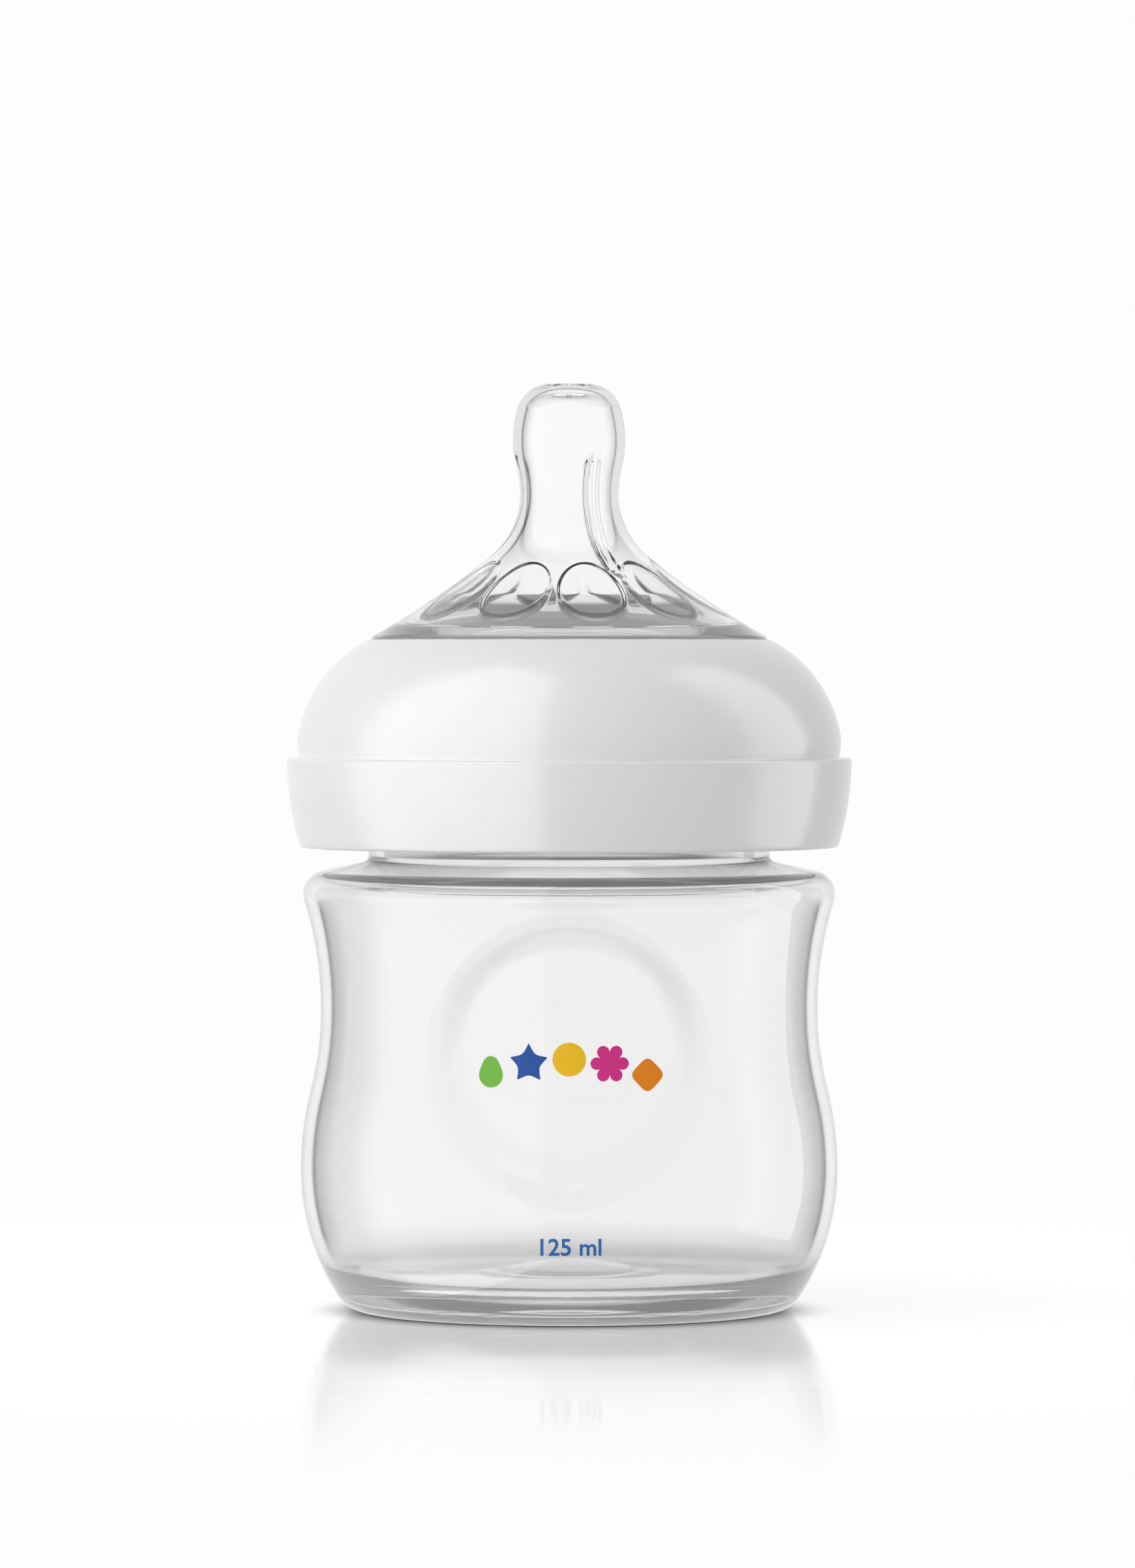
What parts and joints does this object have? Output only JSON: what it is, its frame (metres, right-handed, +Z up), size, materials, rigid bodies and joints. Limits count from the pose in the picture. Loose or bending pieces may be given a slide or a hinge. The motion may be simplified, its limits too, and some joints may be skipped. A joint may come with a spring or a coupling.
{
  "type": "baby bottle",
  "caption": "Small wide-neck baby bottle: clear waisted bottle with round thumb recesses, domed white screw ring and clear soft teat that unscrew together.",
  "frame": {"origin": "centre of the base, on the surface that the bottle stands on", "axes": "+Z up the bottle's axis to the teat; the front thumb recess faces -Y and +X is to the right of it"},
  "size_m": [0.07, 0.07, 0.1148],
  "materials": {
    "bottle": "clear",
    "screw_ring": "satin white",
    "teat": "clear silicone"
  },
  "bodies": {
    "bottle": {"bottle": "bottle"},
    "teat": {"teat": "teat"},
    "ring": {"screw_ring": "screw_ring"}
  },
  "joints": [
    {"name": "teat_lift", "type": "slide", "parent": "bottle", "child": "teat", "axis": [0, 0, 1], "range_m": [0, 0.024]},
    {"name": "ring_turn", "type": "hinge", "parent": "teat", "child": "ring", "pos_m": [0, 0, 0.07], "axis": [0, 0, 1], "range_deg": [0, 1440]}
  ],
  "couplings": [
    {"joint": "teat_lift", "follows": "ring_turn", "m_per_rad": 0.00095493}
  ]
}
